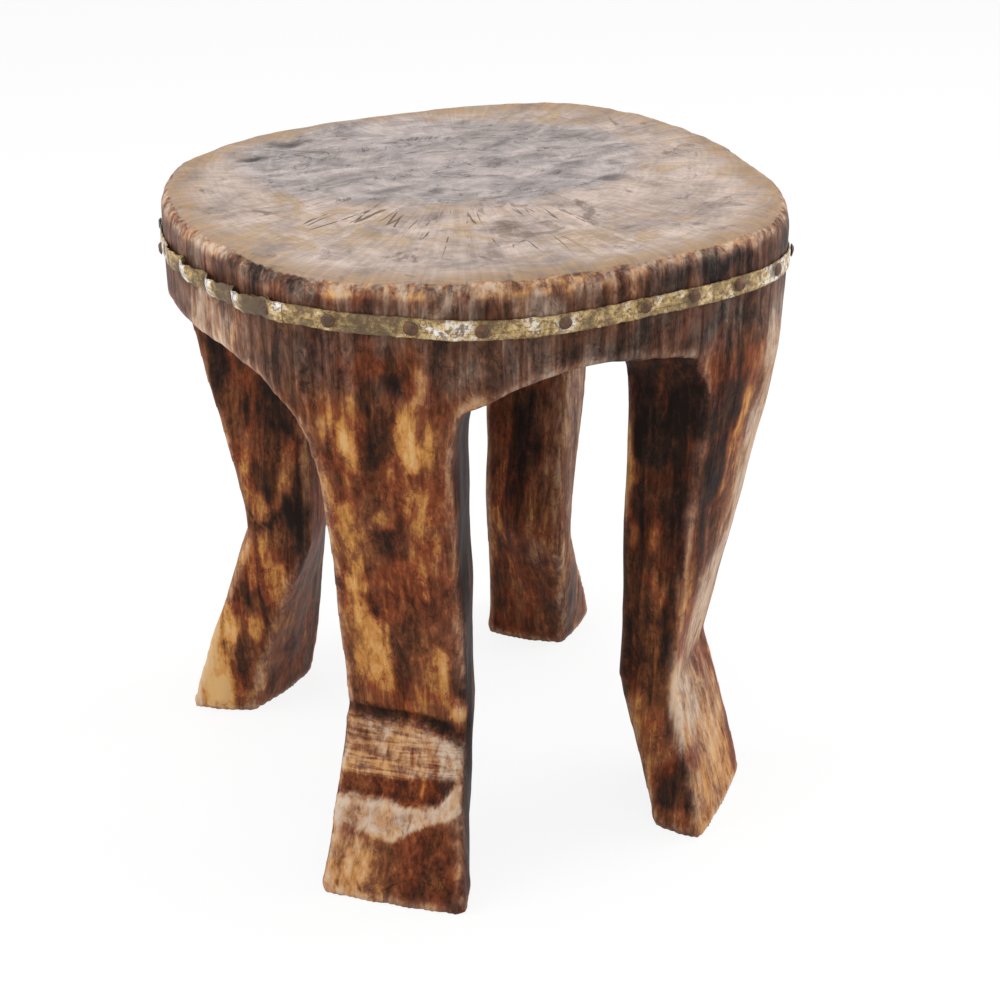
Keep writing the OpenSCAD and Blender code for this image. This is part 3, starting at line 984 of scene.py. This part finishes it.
def rust_bloom():
    """Blooms and specks of rust."""
    def build(n, source):
        where, scale = source["Vector"], source["Scale"]
        bloom = n.noisy(where, scale, 5, 0.65, 0.4)
        fine = n.noisy(where, n.times(scale, 7), 3, 0.7)
        mixed = n.plus(n.times(bloom, 0.65), n.times(fine, 0.35))
        low = n.minus(0.62, n.times(source["Amount"], 0.24))
        return n.between(mixed, low, n.plus(low, 0.07)), fine
    return shared_group("Rust bloom", {"Vector": (0, 0, 0), "Scale": 90.0, "Amount": 0.5},
                        ["Rust", "Grit"], build)


def wood_material(settings):
    material, n, where = new_material("scorched_wood")
    dark, brown, amber, seat, pith = (
        settings.dark, settings.brown, settings.amber, settings.seat, settings.heart)
    grain = n.group(long_grain(), {"Vector": where})
    cut = n.group(end_grain(), {"Vector": where, "Heart": PITH})
    cloud = n.noisy(where, 26, 5, 0.62, 0.6)
    spots = n.noisy(where, 75, 5, 0.68, 0.4)
    uneven = n.minus(spots, 0.5)
    brushed = n.noisy(n.spaced(where, (1, 1, 0.55)), 240, 3, 0.65, 0.8)
    taller = n.spaced(where, (1, 1, 0.4))
    crackle = n.size(n.minus(n.noisy(taller, 58, 5, 0.62, 0.9), 0.5))
    veined = n.noisy(taller, 105, 5, 0.68, 1.2)
    chatter = n.minus(n.noisy(n.spaced(where, (45, 45, 480)), 1, 3, 0.6, 0.6), 0.5)

    # The sides: how pale they are, with painted highlights on proud edges and the rim and painted
    # shade in hollows, then their colour, brown or greyed, the grey partly a painted sheen
    # The rim band's pale broken streaks: partly wear, partly a painted highlight
    fringe = n.fused(brushed, 0.5, n.fused(spots, 0.4, -0.41))
    tone = n.painted("tone")
    for layer, weight in (
            (grain["Streaks"], 0.6), (grain["Patches"], 0.7), (grain["Fibres"], 0.13),
            (spots, 0.35), (veined, 0.55), (brushed, 0.4),
            (n.between(crackle, 0.02, 0.002), -0.1),
            # proud edges: wear and a painted highlight; hollows: painted shade
            (n.times(n.painted("rough"), chatter), 0.9), (n.painted("proud"), 0.2),
            (n.painted("hollow"), -0.18), (n.painted("rim"), fringe)):
        tone = n.fused(layer, weight, tone)
    tone = n.minus(tone, 1.39)
    rich = n.ramp(
        tone, (0.0, dark, 0.6), (0.14, dark, 1.4), (0.28, brown, 0.5), (0.43, brown, 1.1),
        (0.54, brown, 1.75), (0.63, amber, 0.8), (0.76, amber, 1.25), (0.95, settings.straw))
    red = n.times(n.between(cloud, 0.42, 0.6, 0, 0.85), n.between(tone, 0.7, 0.5))
    rich = n.blend(red, rich, (1.12, 0.74, 0.62), "MULTIPLY")
    grey_and_sheen = n.ramp(
        tone, (0.0, (0.012, 0.01, 0.009)), (0.18, (0.045, 0.032, 0.027)),
        (0.42, (0.15, 0.1, 0.076)), (0.6, (0.32, 0.215, 0.155)), (0.8, (0.52, 0.375, 0.275)),
        (1.0, (0.62, 0.47, 0.36)))
    # Proud edges are greyed further as a painted sheen
    greyness = n.fused(n.painted("proud"), 0.35, n.painted("grey"))
    greyness = n.times(greyness, n.between(cloud, 0.25, 0.6, 0.55, 1.15))
    greyness = n.times(greyness, n.between(grain["Streaks"], 0.4, 0.62, 0.6, 1.5), clamp=True)
    sides = n.blend(greyness, rich, grey_and_sheen)

    # The top: worn end grain round a dark, flaking heart
    ring = n.ramp(cloud, (0.32, seat, 0.62), (0.47, seat), (0.6, seat, 1.25))
    flecks = n.noisy(where, 34, 6, 0.72, 0.8)
    broad = n.noisy(where, 11, 2)
    gold = n.times(n.between(flecks, 0.47, 0.6), n.between(broad, 0.4, 0.55, 0.15, 0.75))
    umber = n.times(n.between(flecks, 0.45, 0.36), n.between(broad, 0.6, 0.45, 0.25, 0.8))
    worn = n.between(n.fused(uneven, 2.2, n.painted("border")), 0.3, 1.15, 0, 0.8)
    for share, colour in ((gold, (0.42, 0.29, 0.175)), (umber, (0.2, 0.145, 0.11)),
                          (worn, (0.34, 0.215, 0.115))):
        ring = n.blend(share, ring, colour)
    turned = n.put("Mapping", {"Vector": where, "Rotation": (0, 0, math.radians(25)),
                               "Scale": (0.62, 1.15, 1)}).outputs[0]
    layers = n.noisy(turned, 34, 6, 0.7, 1.0)
    heart = n.ramp(layers, (0.3, pith, 0.35), (0.42, pith, 0.75), (0.51, pith),
                   (0.58, (0.45, 0.385, 0.365)), (0.7, (0.56, 0.475, 0.445)))
    flakes = n.size(n.minus(n.noisy(turned, 26, 4, 0.6, 1.6), 0.5))
    torn = n.times(n.between(flakes, 0.012, 0.003), n.between(layers, 0.62, 0.46))
    heart = n.blend(n.times(torn, 0.75), heart, (0.05, 0.043, 0.04))
    ragged = n.fused(uneven, 1.3, n.painted("heart"))
    top = n.blend(n.between(ragged, 0.05, 0.95, 0, 0.9), ring, heart)
    patch = n.fused(uneven, 0.25, n.painted("patch"))
    top = n.blend(n.between(patch, -0.12, -0.55, 0, 0.8), top, (0.045, 0.04, 0.038))
    top = n.blend(n.between(patch, 0.14, 0.5, 0, 0.6), top, (0.5, 0.42, 0.38))
    shade = n.fused(cut["Rays"], 0.66, 0.64)
    shade = n.times(shade, n.between(cut["Rings"], 0.3, 0.7, 0.9, 1.06))
    shade = n.times(shade, n.between(spots, 0.35, 0.65, 0.84, 1.14))
    top = n.blend(1.0, top, n.xyz(X=shade, Y=shade, Z=shade), "MULTIPLY")
    top = n.blend(n.times(cut["Pores"], 0.4), top, (0.12, 0.08, 0.06))
    top = n.blend(n.times(cut["Checks"], 0.8), top, (0.085, 0.04, 0.026))

    level = n.between(n.fused(uneven, 0.8, n.painted("top")), 0.3, 0.7)
    gloss = n.fused(level, 0.04, n.fused(grain["Patches"], 0.3, 0.36))
    height = n.plus(n.times(grain["Streaks"], 0.5), n.times(grain["Fibres"], 0.2))
    height = n.times(height, n.between(level, 0, 1, 1, 0.35))
    height = n.fused(cut["Checks"], n.times(level, -0.9), height)
    height = n.fused(spots, 0.7, height)
    n.close({"Base Color": n.blend(level, sides, top), "Roughness": gloss,
             "Normal": n.bump(height, 0.55, 0.0011), "Specular IOR Level": 0.08})
    return material


def strip_material(settings):
    material, n, where = new_material("zinc_strip")
    tarnish = settings.tarnish
    rust = n.group(rust_bloom(), {"Vector": where, "Scale": 380.0, "Amount": 0.55})
    across = n.painted("across")
    cloud = n.noisy(where, 75, 6, 0.7, 0.6)
    # From tarnish to bare zinc, with the painted highlights on the loose bulges
    bright = n.fused(n.painted("bare"), 0.32, cloud)
    bright = n.fused(n.minus(rust["Grit"], 0.5), 0.5, bright)
    colour = n.ramp(bright, (0.32, tarnish, 0.18), (0.43, tarnish, 0.5), (0.51, tarnish, 0.85),
                    (0.59, tarnish, 1.35), (0.7, settings.zinc))
    # Darker along both edges and along the fold
    darker_edges = n.plus(n.between(n.size(across), 0.78, 1.0, 0, 0.6),
                  n.between(n.size(n.minus(across, DARK_LINE)), 0.09, 0.02, 0, 0.5))
    darker_edges = n.times(darker_edges, n.between(cloud, 0.7, 0.4))
    colour = n.blend(darker_edges, colour, tint(settings.rust, 0.7))
    colour = n.blend(n.times(rust["Rust"], 0.85), colour, tint(settings.rust))
    metal = n.times(n.between(bright, 0.5, 0.75, 0.1, 0.7), n.minus(1, rust["Rust"]))
    height = n.fused(rust["Rust"], 0.4, rust["Grit"])
    gloss = n.fused(rust["Grit"], 0.35, 0.28)
    n.close({"Base Color": colour, "Metallic": metal, "Roughness": gloss,
             "Normal": n.bump(height, 0.45, 0.0006)})
    return material


def tack_material(settings):
    material, n, where = new_material("tack_iron")
    rust = n.group(rust_bloom(), {"Vector": where, "Scale": 260.0, "Amount": 0.6})
    colour = n.blend(n.times(rust["Rust"], 0.8), tint(settings.iron), tint(settings.rust, 1.3))
    n.close({"Base Color": colour, "Metallic": 0.5, "Roughness": n.fused(rust["Grit"], 0.3, 0.34),
             "Normal": n.bump(rust["Grit"], 0.5, 0.0005)})
    return material


# ------------------------------------------------------------------ stage

# Each lamp's place, size in metres and power, and the height they all point at
LAMPS = {"over": ((0.2, 0.3, 2.4), 2.4, 24), "left": ((-2.2, 0.2, 1.1), 1.6, 26),
         "right": ((2.1, -0.5, 1.2), 1.6, 26), "front": ((-0.9, -2.6, 1.6), 1.8, 12)}
LAMPS_AIM = 0.2
WHITE = (1, 1, 1, 1)


def floor_material():
    """White to the camera, and a pale floor that keeps the stool's shadow."""
    material, n, _ = new_material("pale_floor")
    path = n.put("LightPath").outputs
    seen = n.larger(path["Is Camera Ray"], path["Is Glossy Ray"])
    glow = n.put("Emission", {"Color": WHITE, "Strength": 1.05})
    coat = n.put("BsdfDiffuse", {"Color": (0.8, 0.8, 0.8, 1)})
    mixed = n.put("MixShader", {0: n.times(seen, 0.82), 1: coat.outputs[0], 2: glow.outputs[0]})
    n.put("OutputMaterial", {"Surface": mixed.outputs[0]})
    return material


class STOOL_OT_set_stage(bpy.types.Operator):
    """Lays the floor and sets the camera and the soft lamps"""
    bl_idname = "stool.set_stage"
    bl_label = "Set the Stage"

    def execute(self, context):
        scene = context.scene
        settings = scene.stool_stage
        bpy.ops.object.select_all(action="DESELECT")
        bpy.ops.mesh.primitive_plane_add(size=settings.floor)
        floor = context.active_object
        floor.name = "floor"
        floor.data.materials.append(floor_material())

        view = placed("view", bpy.data.cameras.new("view"))
        view.location = settings.camera_place
        view.rotation_euler = settings.camera_turn
        view.data.lens = settings.lens
        view.data.sensor_width = 36
        view.data.clip_end = 100
        scene.camera = view

        for name, (place, size, power) in LAMPS.items():
            lamp = bpy.data.lights.new(name, "AREA")
            lamp.shape = "SQUARE"
            lamp.size = size
            lamp.energy = power * settings.lamps
            holder = placed(name, lamp)
            holder.location = place
            way = Vector((0, 0, LAMPS_AIM)) - Vector(place)
            holder.rotation_euler = way.to_track_quat("-Z", "Y").to_euler()

        world = scene.world or bpy.data.worlds.new("surround")
        scene.world = world
        world.use_nodes = True
        n = Nodes(world.node_tree)
        path = n.put("LightPath").outputs
        clear = n.larger(path["Is Glossy Ray"], path["Is Transmission Ray"])
        seen = n.larger(path["Is Camera Ray"], clear)
        strength = n.between(seen, 0, 1, settings.surround, 1)
        sky = n.put("Background", {"Color": WHITE, "Strength": strength})
        n.put("OutputWorld", {"Surface": sky.outputs[0]})
        scene.view_settings.view_transform = "Standard"
        return {"FINISHED"}


class STOOL_PT_panel(bpy.types.Panel):
    """The stool's steps, in order"""
    bl_idname = "STOOL_PT_panel"
    bl_label = "Carved Stool"
    bl_space_type = "VIEW_3D"
    bl_region_type = "UI"
    bl_category = "Stool"

    def draw(self, context):
        column = self.layout.column()
        for kind in STEPS:
            column.operator(kind.bl_idname)
        for holder, kind in SETTINGS.items():
            box = self.layout.box()
            for key in kind.__annotations__:
                box.prop(getattr(context.scene, holder), key)


SETTINGS = {"stool_wood": StoolWoodSettings, "stool_trim": StoolTrimSettings,
            "stool_stage": StoolStageSettings}
STEPS = (STOOL_OT_carve_wood, STOOL_OT_bend_strip, STOOL_OT_drive_tacks, STOOL_OT_set_stage)
CLASSES = (*SETTINGS.values(), *STEPS, STOOL_PT_panel)


def register():
    for kind in CLASSES:
        bpy.utils.register_class(kind)
    for holder, kind in SETTINGS.items():
        setattr(bpy.types.Scene, holder, bpy.props.PointerProperty(type=kind))


def unregister():
    for holder in SETTINGS:
        delattr(bpy.types.Scene, holder)
    for kind in reversed(CLASSES):
        bpy.utils.unregister_class(kind)


def main():
    register()
    bpy.ops.stool.carve_wood()
    bpy.ops.stool.bend_strip()
    bpy.ops.stool.drive_tacks()
    bpy.ops.stool.set_stage()


if __name__ == "__main__":
    main()
